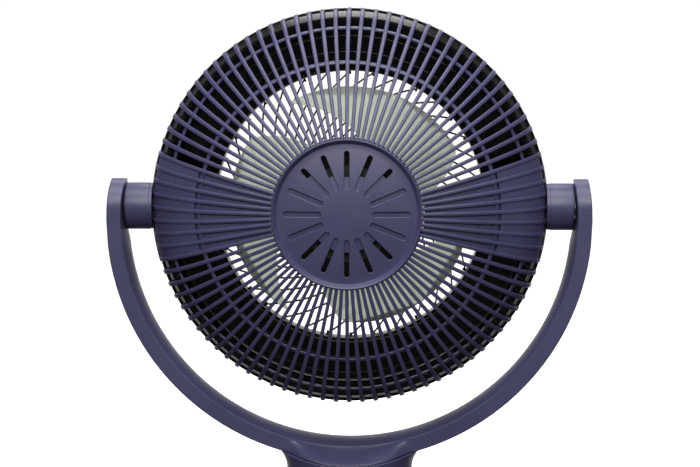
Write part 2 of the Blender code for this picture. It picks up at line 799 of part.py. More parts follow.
def main():
    clear_scene()
    finishes = {
        "shell": finish_named("navy_plastic", (0.070, 0.066, 0.135), 0.32),
        "black": finish_named("black_plastic", (0.010, 0.010, 0.014), 0.28),
        "impeller": finish_named("grey_translucent_plastic", (0.36, 0.38, 0.36), 0.35),
        "steel": finish_named("bright_steel", (0.55, 0.55, 0.56), 0.30, 1.0),
        "iron": finish_named("dark_iron", (0.12, 0.12, 0.13), 0.50, 0.9),
        "copper": finish_named("copper_wire", (0.60, 0.25, 0.12), 0.35, 1.0),
        "board": finish_named("circuit_board", (0.02, 0.12, 0.05), 0.45),
        "rubber": finish_named("dark_rubber", (0.02, 0.02, 0.02), 0.80),
        "white": finish_named("natural_acetal", (0.75, 0.74, 0.70), 0.45),
        "button": finish_named("grey_button", (0.35, 0.35, 0.38), 0.40),
    }
    base = axis_empty("base_frame", (0, 0, 0))
    stand = axis_empty("stand_axis", (0, 0, 0), base)
    stand_pivot = axis_empty("yoke_centre", (0, 0, PIVOT_HEIGHT), stand)
    head = axis_empty("tilt_axis", (0, 0, PIVOT_HEIGHT), stand)
    rotor = axis_empty("impeller_axis", (0, 0, 0), head)
    pinion = axis_empty("pinion_axis", (0, -PINION_DISTANCE, 0), base)
    button_names = ("button_power", "button_speed", "button_swing", "button_timer")
    buttons = {}
    for index, name in enumerate(button_names):
        x = (index - 1.5) * BUTTON_PITCH
        buttons[name] = axis_empty(name + "_axis", (x, PANEL_CENTRE, 0), base)
    make_base(finishes, base)
    make_controls(finishes, base, buttons)
    make_column(finishes, stand)
    make_gears(finishes, stand, pinion)
    make_yoke(finishes, stand_pivot)
    make_bolts(finishes, stand_pivot)
    make_pivots(finishes, stand_pivot, head)
    make_rear_grille(finishes["shell"], head)
    make_shroud(finishes["black"], head)
    make_front_bezel(finishes["black"], head)
    make_front_grille(finishes["black"], head)
    cap = [(0, 0.0300), (0.0330, 0.0300), (0.0355, 0.0330), (0.0330, 0.0362), (0.0180, 0.0385), (0, 0.0392)]
    turned("front_cap", cap, "Y", MIDDLE, finishes["black"], head)
    make_motor_cover(finishes["shell"], head)
    make_motor(finishes, head)
    make_rotor(finishes, rotor)


main()
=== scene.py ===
"""Looks of the round air circulator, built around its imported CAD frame.

Metres, +Z up. The rear grille faces -Y. Every piece is placed from the frame's own boxes and joints.
"""

import json
import math

import bmesh
import bpy
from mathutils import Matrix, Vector


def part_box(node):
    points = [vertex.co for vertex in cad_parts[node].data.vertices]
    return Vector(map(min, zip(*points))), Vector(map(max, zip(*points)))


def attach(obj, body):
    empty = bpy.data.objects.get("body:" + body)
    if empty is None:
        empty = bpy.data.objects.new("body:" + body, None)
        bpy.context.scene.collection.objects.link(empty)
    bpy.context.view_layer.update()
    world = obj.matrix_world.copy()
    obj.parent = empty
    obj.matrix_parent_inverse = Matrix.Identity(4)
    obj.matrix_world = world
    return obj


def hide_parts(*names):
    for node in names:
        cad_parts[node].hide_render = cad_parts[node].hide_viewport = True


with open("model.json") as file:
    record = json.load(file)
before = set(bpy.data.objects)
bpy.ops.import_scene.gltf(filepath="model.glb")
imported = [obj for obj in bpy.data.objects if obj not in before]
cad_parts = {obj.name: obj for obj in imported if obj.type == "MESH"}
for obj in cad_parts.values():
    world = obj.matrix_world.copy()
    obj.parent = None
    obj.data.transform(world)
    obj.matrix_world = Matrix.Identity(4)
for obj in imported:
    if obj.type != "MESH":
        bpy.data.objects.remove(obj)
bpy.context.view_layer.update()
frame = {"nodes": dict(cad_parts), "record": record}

joint_places = {joint["name"]: joint.get("pos_m") for joint in frame["record"]["behaviour"]["joints"]}
# The middle of the head, on the tilt axis: radii and Y in the head are taken from it.
PIVOT = Vector(joint_places["head_tilt"])

# Sides of the turned shapes, from the widest rings to the small ones
RING_SIDES = 184
LARGE_SIDES = 160
SMALL_SIDES = 96

# Motor cover
COVER_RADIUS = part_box("motor_cover")[1].x - 0.0014
COVER_FACE_RADIUS = 0.0570
COVER_FACE_EDGE_Y = -0.0724
COVER_CROWN = 0.0056
COVER_WALL = 0.0022
SLOT_COUNT = 16
SLOT_HALF_WIDTH = 0.0021
SLOT_START = 0.0210
SLOT_END = 0.0518
SLOT_FLARE = 0.0004
SLOT_DEPTH = 0.0018
# Slots steeper than this many pitches are open: above from a level line, below from a radius.
THROUGH_FROM_PITCHES = 1.5
THROUGH_LINE = 0.0306
THROUGH_RADIUS = 0.0312
THROUGH_MARGIN = 0.0001

# Rear grille
GRILLE_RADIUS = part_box("rear_grille")[1].x + 0.0002
GRILLE_DEPTH = 0.080
RIB_COUNT = 92
RIB_STEPS = 26
RIB_HEIGHT = 0.0046
RIB_WIDTH_AT_COVER = 0.0029
RIB_WIDTH_AT_RIM = 0.0036
RIB_EDGE = 0.0006
RIB_EDGE_MIDDLE = 0.35
RIB_FOOT_SHARE = 0.86
RIB_START = COVER_RADIUS + 0.0002
RIB_FLANGE_YS = (0.0010, 0.0021)
# Radius, width, depth below the ribs' outer side, and lean of each ring in degrees
RINGS = ((0.1241, 0.0036, 0.0012, 18), (0.1530, 0.0034, 0.0024, 12))
RING_DEPTH = 0.0015
PLATE_HALF_ANGLE = math.radians(4 * 360 / RIB_COUNT)
PLATE_END = math.radians(80.5)
PLATE_SINK = 0.0022
PLATE_SINK_OUTSIDE = 0.0007
PLATE_SEAM = (0.1262, 0.1270)
PLATE_SEAM_SINK = 0.0040
PLATE_SEAM_SLANT = 0.0002
PLATE_THICKNESS = 0.0020
PLATE_STEPS = 14
PLATE_FAN_STEPS = 24
RIM_ARC = ((0.1652, -0.0052), (0.1666, -0.0052), (0.1666, 0.0020), (0.1652, 0.0020))

# Front of the head
OUTLET_RADIUS = 0.113
SPIRAL_COUNT = 36
SPIRAL_STEPS = 22
SPIRAL_SLOPE = math.radians(50)
SPIRAL_HALF_WIDTH = 0.0007
SPIRAL_DEPTH = 0.0040
SPIRAL_EDGE_Y = 0.0265
SPIRAL_CROWN = 0.011
TAB_HALF_WIDTH = 0.0008
TAB_LENGTH = 0.0024
TAB_Y = 0.0200
CAP_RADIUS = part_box("front_cap")[1].x

# Pivot bosses
BOSS_START = 0.1657
BOSS_ROOT = 0.1600
BOSS_BORE = 0.0063
BOSS_COLLAR = (0.0106, 0.0150)
BOSS_COLLAR_HEIGHT = 0.0009

# Impeller
TIP_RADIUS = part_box("impeller")[1].x + 0.0014
HUB_RADIUS = 0.0445
BLADE_COUNT = 3
BLADE_ROOT = 0.0430
BLADE_SPAN_STEPS = 18
BLADE_CHORD_STEPS = 22
BLADE_SPAN_CROWDING = 1.4
# Angles of the blade's edges in degrees: at the tip, and their fall over SWEEP_LENGTH inwards
TRAILING_AT_TIP, TRAILING_SWEEP = 25.9, 25.0
LEADING_AT_TIP, LEADING_SWEEP = 121.2, 44.0
SWEEP_LENGTH = 0.046
TIP_CORNER = 0.006
TIP_CORNER_PULL = 0.05
BLADE_Y = 0.0100
BLADE_TIP_RISE = 0.0090
BLADE_PITCH = 0.031
BLADE_CAMBER = 0.005
BLADE_HALF_THICKNESS = 0.0011
BLADE_EDGE_SHARE = 0.30

# Yoke and column
YOKE_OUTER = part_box("yoke_frame")[1].x - 0.0002
YOKE_THICKNESS = 0.012
YOKE_INNER = YOKE_OUTER - YOKE_THICKNESS
YOKE_HALF_DEPTH = 0.0233
YOKE_DROP = 0.0100
# How far the yoke's edges are rounded, and over what share of its thickness
YOKE_INNER_EDGE, YOKE_INNER_SHARE = 0.0005, 0.035
YOKE_OUTER_EDGE, YOKE_OUTER_SHARE = 0.0010, 0.075
# How softly the round foot runs out into the arms, and the roll of its inner edge
FOOT_BLEND = 0.0028
FOOT_BLEND_END = 30
FOOT_SWELL_POWER = 1.4
FOOT_ROLL, FOOT_ROLL_SHARE = 0.0032, 0.10
FOOT_ROLL_SWELL = 0.006
LINER_HALF_DEPTH = 0.0197
LINER_CROWN = 0.0050
LINER_CROWN_AT_BOSS = 0.0016
LINER_CROWN_FROM = 0.0205
LINER_CROWN_OVER = 0.0060
LINER_STEPS = 20
COLUMN_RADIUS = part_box("column_shell")[1].x
COLUMN_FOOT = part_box("column_shell")[0].z
COLUMN_WALL = 0.0040
COLUMN_STEPS = 160
COLUMN_FLARE = 0.0075
COLUMN_FLARE_LENGTH = 0.019
COLUMN_FLARE_POWER = 2.2
BASE_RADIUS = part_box("base_shell")[1].x
BASE_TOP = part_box("base_shell")[1].z
BASE_CORNER = 0.0120
BASE_WALL_INSET = 0.0035
BASE_TOP_WALL = 0.0028
BASE_HOLE = 0.0280
BASE_GROOVE = (0.0600, 0.0590, 0.0580)
BASE_GROOVE_DEPTH = 0.0005
SEAM_GAP = 0.0003
PANEL_CORNER = 0.004
PANEL_CUT = (0.028, 0.040)
JACK_RADIUS = 0.0056
JACK_CUT = (-0.135, -0.115)
KEY_BODIES = {
    "button_power": "power_key",
    "button_speed": "speed_key",
    "button_swing": "swing_key",
    "button_timer": "timer_key",
}
KEY_HOLE_RADIUS = 0.0066
KEY_CUT = (0.025, 0.040)
KEY_RADIUS = 0.0062
KEY_FLANGE_RADIUS = 0.0078

# Materials
NOISE_LOW, NOISE_HIGH = 0.3, 0.7
PATCH_SCALE = 14.0
GLOSS_SPREAD = 0.12
GRAIN_DEPTH = 0.0004

# Studio
FLOOR_SIZE = 40.0
FLOOR_Z = -0.0002
FLOOR_GLOW = 0.84
SCREEN_FROM, SCREEN_TO = 0.72, 0.98
ROOM_LIGHT = 0.11
# Name, place, target, size and power of each light
LIGHTS = (
    ("overhead", (0.0, -0.45, 1.90), (0, 0, 0.30), (1.9, 1.0), 30),
    ("above_camera", (0.0, -2.3, 1.75), (0, 0, 0.34), (2.6, 1.3), 74),
    ("above_front", (0.0, 0.85, 1.60), (0, 0, 0.40), (1.0, 0.5), 8),
)
CAMERA_DISTANCE = 2.20
CAMERA_ASIDE = math.radians(1.75)
CAMERA_HEIGHT = math.radians(5.33)
CAMERA_SENSOR = 36
CAMERA_LENS = 134.2
CAMERA_AIM = (0.0004, 0, -0.0232)


# Mesh tools ------------------------------------------------------------------------------------------


def skin(bm, sections, loop=False):
    """Joins closed sections of equal length, either into a loop or into a solid with flat ends."""
    rings = [[bm.verts.new(point) for point in section] for section in sections]
    pairs = list(zip(rings, rings[1:]))
    if loop:
        pairs.append((rings[-1], rings[0]))
    count = len(rings[0])
    for first, second in pairs:
        for i in range(count):
            j = (i + 1) % count
            bm.faces.new((first[i], first[j], second[j], second[i]))
    if not loop:
        bm.faces.new(rings[0][::-1])
        bm.faces.new(rings[-1])


def soften(outline, radius, steps=3):
    """Rounds each corner of a closed outline of (a, b) points."""
    softened = []
    count = len(outline)
    for i, point in enumerate(outline):
        corner = Vector(point)
        before = Vector(outline[i - 1]) - corner
        after = Vector(outline[(i + 1) % count]) - corner
        reach = min(radius, before.length * 0.45, after.length * 0.45)
        start = corner + before.normalized() * reach
        end = corner + after.normalized() * reach
        for step in range(steps + 1):
            t = step / steps
            softened.append(tuple(start * (1 - t) ** 2 + corner * 2 * t * (1 - t) + end * t**2))
    return softened


def smooth_line(points, per_span=5):
    """A Catmull-Rom line through (a, b) points."""
    before = Vector(points[0]) * 2 - Vector(points[1])
    after = Vector(points[-1]) * 2 - Vector(points[-2])
    knots = [before] + [Vector(point) for point in points] + [after]
    line = []
    for a, b, c, d in zip(knots, knots[1:], knots[2:], knots[3:]):
        for step in range(per_span):
            t = step / per_span
            point = 2 * b + (c - a) * t
            point = point + (2 * a - 5 * b + 4 * c - d) * t**2
            point = point + (3 * b - a - 3 * c + d) * t**3
            line.append(tuple(0.5 * point))
    line.append(tuple(points[-1]))
    return line


AXES = {
    "X": (Vector((1, 0, 0)), Vector((0, 0, 1)), Vector((0, 1, 0))),
    "Y": (Vector((0, 1, 0)), Vector((1, 0, 0)), Vector((0, 0, 1))),
    "Z": (Vector((0, 0, 1)), Vector((1, 0, 0)), Vector((0, 1, 0))),
}


def turn(bm, outline, axis, centre=(0, 0, 0), steps=128):
    """Turns a closed outline of (radius, height) points about an axis through the centre."""
    along, across, up = AXES[axis]
    sections = []
    for step in range(steps):
        angle = 2 * math.pi * step / steps
        outward = across * math.cos(angle) + up * math.sin(angle)
        sections.append([Vector(centre) + outward * r + along * h for r, h in outline])
    skin(bm, sections, loop=True)


def stadium(start, end, half_width, steps=8):
    """Outline of a slot with round ends, along the first axis."""
    points = []
    for centre, turn_start in ((end - half_width, -90), (start + half_width, 90)):
        for step in range(steps + 1):
            angle = math.radians(turn_start + 180 * step / steps)
            points.append((centre + half_width * math.cos(angle), half_width * math.sin(angle)))
    return points


def solid(name, bm, crease):
    """Makes an object of a mesh, smooth apart from edges sharper than the crease."""
    bmesh.ops.remove_doubles(bm, verts=bm.verts, dist=1e-7)
    bmesh.ops.recalc_face_normals(bm, faces=bm.faces)
    mesh = bpy.data.meshes.new(name)
    bm.to_mesh(mesh)
    bm.free()
    mesh.shade_smooth()
    mesh.set_sharp_from_angle(angle=math.radians(crease))
    obj = bpy.data.objects.new(name, mesh)
    bpy.context.scene.collection.objects.link(obj)
    return obj


def piece(name, bm, body, slot, node, crease=32.0):
    """Finishes a mesh as a piece that rides on a body, has its slot's finish and stands for a node."""
    obj = solid(name, bm, crease)
    obj.data.materials.append(materials[slot])
    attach(obj, body)
    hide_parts(node)
    return obj


def cut(obj, bm, crease=32.0):
    """Cuts a closed shape out of a piece and keeps the result as its mesh."""
    cutter = solid("cutter", bm, crease)
    modifier = obj.modifiers.new("cut", "BOOLEAN")
    modifier.object = cutter
    modifier.solver = "EXACT"
    bpy.context.view_layer.update()
    graph = bpy.context.evaluated_depsgraph_get()
    result = bpy.data.meshes.new_from_object(obj.evaluated_get(graph))
    obj.modifiers.clear()
    old = obj.data
    obj.data = result
    bpy.data.meshes.remove(old)
    bpy.data.objects.remove(cutter)
    result.shade_smooth()
    result.set_sharp_from_angle(angle=math.radians(crease))


# Materials -------------------------------------------------------------------------------------------


def noise(tree, coords, scale, detail=3.0):
    """A noise node in the object's own coordinates."""
    node = tree.nodes.new("ShaderNodeTexNoise")
    node.inputs["Scale"].default_value = scale
    node.inputs["Detail"].default_value = detail
    tree.links.new(coords.outputs["Object"], node.inputs["Vector"])
    return node


def remap(tree, source, low, high):
    """Spreads the middle of a noise over low to high."""
    node = tree.nodes.new("ShaderNodeMapRange")
    node.inputs["From Min"].default_value = NOISE_LOW
    node.inputs["From Max"].default_value = NOISE_HIGH
    node.inputs["To Min"].default_value = low
    node.inputs["To Max"].default_value = high
    tree.links.new(source, node.inputs["Value"])
    return node.outputs["Result"]


def shader_of(material):
    return material.node_tree.nodes["Principled BSDF"]


def finish(name, colour, roughness, spread=0.12, grain=900.0, bump=0.05, metallic=0.0):
    """A moulded or turned surface: slight colour drift, uneven gloss and a fine grain."""
    material = bpy.data.materials.new(name)
    material.use_nodes = True
    tree = material.node_tree
    shader = shader_of(material)
    shader.inputs["Metallic"].default_value = metallic
    coords = tree.nodes.new("ShaderNodeTexCoord")
    drift = noise(tree, coords, PATCH_SCALE)
    ramp = tree.nodes.new("ShaderNodeValToRGB")
    dark, light = ramp.color_ramp.elements
    dark.position, light.position = NOISE_LOW, NOISE_HIGH
    dark.color = (*[c * (1 - spread) for c in colour], 1)
    light.color = (*[min(c * (1 + spread), 1) for c in colour], 1)
    tree.links.new(drift.outputs["Fac"], ramp.inputs["Fac"])
    tree.links.new(ramp.outputs["Color"], shader.inputs["Base Color"])
    gloss = noise(tree, coords, PATCH_SCALE * 5)
    roughest = min(roughness * (1 + GLOSS_SPREAD), 1.0)
    uneven = remap(tree, gloss.outputs["Fac"], roughness * (1 - GLOSS_SPREAD), roughest)
    tree.links.new(uneven, shader.inputs["Roughness"])
    fine = noise(tree, coords, grain, 2.0)
    relief = tree.nodes.new("ShaderNodeBump")
    relief.inputs["Strength"].default_value = bump
    relief.inputs["Distance"].default_value = GRAIN_DEPTH
    tree.links.new(fine.outputs["Fac"], relief.inputs["Height"])
    tree.links.new(relief.outputs["Normal"], shader.inputs["Normal"])
    return material


def make_materials():
    """The material of each slot in the record."""
    black = finish("black_moulding", (0.002, 0.002, 0.003), 0.20, bump=0.02)
    shader_of(black).inputs["Specular IOR Level"].default_value = 0.38
    impeller = finish("impeller_plastic", (0.70, 0.74, 0.65), 0.50, 0.05, 500.0, 0.03)
    shader_of(impeller).inputs["Transmission Weight"].default_value = 0.65
    shader_of(impeller).inputs["IOR"].default_value = 1.30
    return {
        "navy_shell": finish("navy_moulding", (0.050, 0.047, 0.108), 0.40),
        "black_shell": black,
        "grey_impeller": impeller,
        "bright_steel": finish("turned_steel", (0.50, 0.50, 0.51), 0.30, grain=2500.0, metallic=1.0),
        "dark_iron": finish("dark_iron", (0.030, 0.030, 0.033), 0.50, 0.2, metallic=0.6),
        "copper_wire": finish("copper_wire", (0.60, 0.25, 0.12), 0.35, 0.15, 1400.0, 0.5, 1.0),
        "circuit_board": finish("circuit_board", (0.003, 0.007, 0.006), 0.45, 0.3, 400.0, 0.1),
        "dark_rubber": finish("dark_rubber", (0.018, 0.018, 0.018), 0.75, 0.2, 700.0, 0.2),
        "white_acetal": finish("white_acetal", (0.72, 0.71, 0.67), 0.42, 0.05),
        "grey_button": finish("grey_keys", (0.30, 0.30, 0.34), 0.42, 0.08, 700.0, 0.15),
    }


def paint_frame():
    """Gives every carried-over CAD node the material of its own slot."""
    for part in frame["record"]["subparts"]:
        mesh = frame["nodes"][part["node"]].data
        mesh.materials.clear()
        mesh.materials.append(materials[part["material_slot"]])


# Head ------------------------------------------------------------------------------------------------


def dome(angle):
    """Point (radius, y) and outward normal of the rear grille's ellipse at an angle from the rear."""
    point = Vector((GRILLE_RADIUS * math.sin(angle), -GRILLE_DEPTH * math.cos(angle)))
    normal = Vector((math.sin(angle) / GRILLE_RADIUS, -math.cos(angle) / GRILLE_DEPTH)).normalized()
    return point, normal


def dome_angle(radius):
    return math.asin(min(radius / GRILLE_RADIUS, 1.0))


def from_axis(angle, radius, y):
    return PIVOT + Vector((radius * math.cos(angle), y, radius * math.sin(angle)))


def rib_stations():
    """Points and normals along a rib, from the motor cover round the shoulder to the front flange."""
    start = dome_angle(RIB_START)
    stations = []
    for step in range(RIB_STEPS + 1):
        share = step / RIB_STEPS
        stations.append(dome(start + (math.pi / 2 - start) * share))
    for y in RIB_FLANGE_YS:
        stations.append((Vector((GRILLE_RADIUS, y)), Vector((1, 0))))
    return stations


def make_ribs():
    """The radial ribs, from the motor cover round the shoulder to the front flange."""
    bm = bmesh.new()
    stations = rib_stations()
    bevel = RIB_EDGE * RIB_EDGE_MIDDLE
    for rib in range(RIB_COUNT):
        angle = 2 * math.pi * rib / RIB_COUNT
        across = Vector((-math.sin(angle), 0, math.cos(angle)))
        outward = Vector((math.cos(angle), 0, math.sin(angle)))
        sections = []
        for point, normal in stations:
            share = (point.x - RIB_START) / (GRILLE_RADIUS - RIB_START)
            half = (RIB_WIDTH_AT_COVER + (RIB_WIDTH_AT_RIM - RIB_WIDTH_AT_COVER) * share) / 2
            out = outward * normal.x + Vector((0, normal.y, 0))
            middle = PIVOT + outward * point.x + Vector((0, point.y, 0))
            shape = [
                (-half * RIB_FOOT_SHARE, -RIB_HEIGHT),
                (half * RIB_FOOT_SHARE, -RIB_HEIGHT),
                (half, -RIB_EDGE),
                (half - bevel, -bevel),
                (half - RIB_EDGE, 0),
                (-half + RIB_EDGE, 0),
                (-half + bevel, -bevel),
                (-half, -RIB_EDGE),
            ]
            sections.append([middle + across * a + out * b for a, b in shape])
        skin(bm, sections)
    piece("grille_ribs", bm, "head", "navy_shell", "rear_grille", crease=40.0)


def make_rings():
    """The two round bars under the ribs, and the collar where the ribs meet the motor cover."""
    bm = bmesh.new()
    for radius, width, sink, lean in RINGS:
        point, normal = dome(dome_angle(radius))
        point = point - normal * sink
        tip = math.atan2(normal.x, -normal.y) + math.radians(lean)
        normal = Vector((math.sin(tip), -math.cos(tip)))
        along = Vector((-normal.y, normal.x))
        half = width / 2
        corners = [(-half, 0), (half, 0), (half, -RING_DEPTH), (-half, -RING_DEPTH)]
        outline = []
        for a, b in soften(corners, 0.0003, 2):
            place = point + along * a + normal * b
            outline.append((place.x, place.y))
        turn(bm, outline, "Y", PIVOT, RING_SIDES)
    collar_y = dome(dome_angle(RIB_START))[0].y + RIB_HEIGHT - 0.0010
    collar = [
        (RIB_START, collar_y),
        (RIB_START + 0.0009, collar_y + 0.0002),
        (RIB_START + 0.0009, collar_y + 0.0030),
        (RIB_START, collar_y + 0.0030),
    ]
    turn(bm, soften(collar, 0.0004, 2), "Y", PIVOT, RING_SIDES)
    piece("grille_rings", bm, "head", "navy_shell", "rear_grille", crease=40.0)


def make_side_plates():
    """The two solid wedges between the ribs: a flat part, a seam and a fuller shoulder."""
    bm = bmesh.new()
    start = dome_angle(RIB_START + 0.002)
    seam_start, seam_end = (dome_angle(radius) for radius in PLATE_SEAM)
    flat = seam_start - start
    full = PLATE_END - seam_end
    steps = range(PLATE_STEPS + 1)
    stations = [(start + flat * step / PLATE_STEPS, PLATE_SINK) for step in steps]
    stations.append((seam_start + PLATE_SEAM_SLANT, PLATE_SEAM_SINK))
    stations.append((seam_end - PLATE_SEAM_SLANT, PLATE_SEAM_SINK))
    stations += [(seam_end + full * step / PLATE_STEPS, PLATE_SINK_OUTSIDE) for step in steps]
    rim_shape = soften(RIM_ARC, 0.0004, 2)
    for middle in (0, math.pi):
        sections = []
        rim_sections = []
        for fan in range(PLATE_FAN_STEPS + 1):
            angle = middle + PLATE_HALF_ANGLE * (2 * fan / PLATE_FAN_STEPS - 1)
            outer = []
            inner = []
            for place, sink in stations:
                point, normal = dome(place)
                top = point - normal * sink
                under = point - normal * (sink + PLATE_THICKNESS)
                outer.append(from_axis(angle, top.x, top.y))
                inner.append(from_axis(angle, under.x, under.y))
            sections.append(outer + inner[::-1])
            rim_sections.append([from_axis(angle, r, y) for r, y in rim_shape])
        skin(bm, sections)
        skin(bm, rim_sections)
    piece("grille_side_plates", bm, "head", "navy_shell", "rear_grille")


def cover_face(radius):
    """Height of the motor cover's low dome at a radius."""
    return COVER_FACE_EDGE_Y - COVER_CROWN * (1 - (radius / COVER_FACE_RADIUS) ** 2)


def place_slot(angle, outline, lift=0.0, level=None):
    """Turns an outline of (along, across) points to an angle, lifted off the dome or at one level."""
    along = Vector((math.cos(angle), 0, math.sin(angle)))
    across = Vector((-math.sin(angle), 0, math.cos(angle)))
    points = []
    for a, b in outline:
        y = cover_face(a) + lift if level is None else level
        points.append(PIVOT + along * a + across * b + Vector((0, y, 0)))
    return points


def make_cover():
    """The round cover: a raised rim, a ring of sunk slots, and openings through most of them."""
    edge = COVER_RADIUS
    radii = [COVER_FACE_RADIUS * i / 14 for i in range(15)]
    face = [(radius, cover_face(radius)) for radius in radii]
    rim = [
        (edge - 0.0042, -0.0724),
        (edge - 0.0036, -0.0730),
        (edge - 0.0020, -0.0753),
        (edge - 0.0014, -0.0761),
        (edge - 0.0008, -0.0764),
        (edge - 0.0002, -0.0761),
        (edge, -0.0752),
        (edge, -0.0668),
        (edge - COVER_WALL, -0.0668),
        (edge - COVER_WALL, -0.0706),
    ]
    radii = [COVER_FACE_RADIUS * i / 6 for i in range(6, -1, -1)]
    under = [(radius, cover_face(radius) + COVER_WALL) for radius in radii]
    bm = bmesh.new()
    turn(bm, face + rim + under, "Y", PIVOT, LARGE_SIDES)
    cover = piece("motor_cover_face", bm, "head", "navy_shell", "motor_cover", crease=28.0)
    pitch = 2 * math.pi / SLOT_COUNT
    flare = SLOT_FLARE
    wide = stadium(SLOT_START - flare, SLOT_END + flare, SLOT_HALF_WIDTH + flare)
    narrow = stadium(SLOT_START, SLOT_END, SLOT_HALF_WIDTH)
    half = SLOT_HALF_WIDTH - THROUGH_MARGIN
    outer_end = [(a, b) for a, b in stadium(0.0, SLOT_END - THROUGH_MARGIN, half) if a > half]
    recess = bmesh.new()
    opening = bmesh.new()
    for index in range(SLOT_COUNT):
        angle = index * pitch
        skin(
            recess,
            [
                place_slot(angle, wide, level=-0.0830),
                place_slot(angle, wide),
                place_slot(angle, narrow, flare),
                place_slot(angle, narrow, SLOT_DEPTH),
            ],
        )
        rise = math.sin(angle)
        if abs(rise) > math.sin(THROUGH_FROM_PITCHES * pitch):
            start = THROUGH_LINE / rise if rise > 0 else THROUGH_RADIUS
            shape = [(start, -half)] + outer_end + [(start, half)]
            skin(opening, [place_slot(angle, shape, level=y) for y in (-0.0820, -0.0660)])
    cut(cover, recess, crease=28.0)
    cut(cover, opening, crease=28.0)


def make_bracket():
    """The dished plate under the motor cover that carries the motor."""
    outline = [
        (0.0125, -0.0630),
        (0.0590, -0.0630),
        (0.0602, -0.0636),
        (0.0606, -0.0648),
        (0.0606, -0.0690),
        (0.0586, -0.0690),
        (0.0586, -0.0666),
        (0.0580, -0.0660),
        (0.0125, -0.0660),
    ]
    bm = bmesh.new()
    turn(bm, outline, "Y", PIVOT, 128)
    piece("motor_bracket_dish", bm, "head", "black_shell", "motor_bracket", crease=35.0)


def make_shroud():
    """Inlet plate with a tight lip at the duct, and the steep wall and flange that carry the grille."""
    rear_side = smooth_line(
        [
            (OUTLET_RADIUS, 0.0240),
            (OUTLET_RADIUS + 0.0002, 0.0190),
            (OUTLET_RADIUS + 0.0005, 0.0140),
            (OUTLET_RADIUS + 0.0009, 0.0105),
            (OUTLET_RADIUS + 0.0020, 0.0084),
            (0.1172, 0.0073),
            (0.1260, 0.0064),
            (0.1380, 0.0056),
            (0.1488, 0.0048),
        ]
    )
    outside = [(0.1498, 0.0042), (0.1503, 0.0030), (0.1519, -0.0098), (0.1524, -0.0109)]
    outside += [(0.1533, -0.0114), (0.1591, -0.0114), (0.1597, -0.0109), (0.1601, -0.0098)]
    outside += [(0.1643, 0.0012), (0.1648, 0.0023), (0.1660, 0.0023), (0.1664, 0.0027)]
    outside += [(0.1664, 0.0048), (0.1618, 0.0050), (0.1584, -0.0080)]
    front_side = [(0.1565, -0.0094), (0.1543, -0.0094), (0.1537, -0.0086), (0.1519, 0.0050)]
    front_side += [(0.1500, 0.0066), (0.1380, 0.0076), (0.1260, 0.0084), (0.1180, 0.0093)]
    front_side += [(0.1160, 0.0110), (0.1153, 0.0240)]
    bm = bmesh.new()
    turn(bm, rear_side + outside + front_side, "Y", PIVOT, RING_SIDES)
    for radius, low in ((0.1290, 0.0057), (0.1425, 0.0048)):
        edge, high = radius + 0.0012, low + 0.0009
        bead = soften([(radius, low), (edge, low), (edge, high), (radius, high)], 0.0003, 2)
        turn(bm, bead, "Y", PIVOT, RING_SIDES)
    piece("shroud_moulding", bm, "head", "black_shell", "shroud", crease=35.0)


def make_bezel():
    """The rounded front ring, with two low beads round its face."""
    outer = smooth_line(
        [
            (0.1664, 0.0053),
            (0.1662, 0.0110),
            (0.1638, 0.0180),
            (0.1583, 0.0245),
            (0.1490, 0.0305),
            (0.1350, 0.0345),
            (0.1220, 0.0340),
            (0.1155, 0.0300),
            (0.1133, 0.0243),
        ]
    )
    inner = [(0.1160, 0.0243), (0.1180, 0.0285), (0.1230, 0.0316), (0.1350, 0.0320)]
    inner += [(0.1480, 0.0281), (0.1563, 0.0221), (0.1608, 0.0158), (0.1629, 0.0053)]
    bm = bmesh.new()
    turn(bm, outer + inner, "Y", PIVOT, LARGE_SIDES)
    for radius, y in ((0.1395, 0.0341), (0.1475, 0.0316)):
        bead = [(radius, y - 0.0006), (radius + 0.0005, y + 0.0003), (radius + 0.0016, y - 0.0008)]
        turn(bm, bead, "Y", PIVOT, LARGE_SIDES)
    piece("bezel_moulding", bm, "head", "black_shell", "front_bezel", crease=35.0)


def spiral_y(radius):
    """Height of the front grille's low dome at a radius."""
    return SPIRAL_EDGE_Y + SPIRAL_CROWN * (1 - (radius / OUTLET_RADIUS) ** 2)


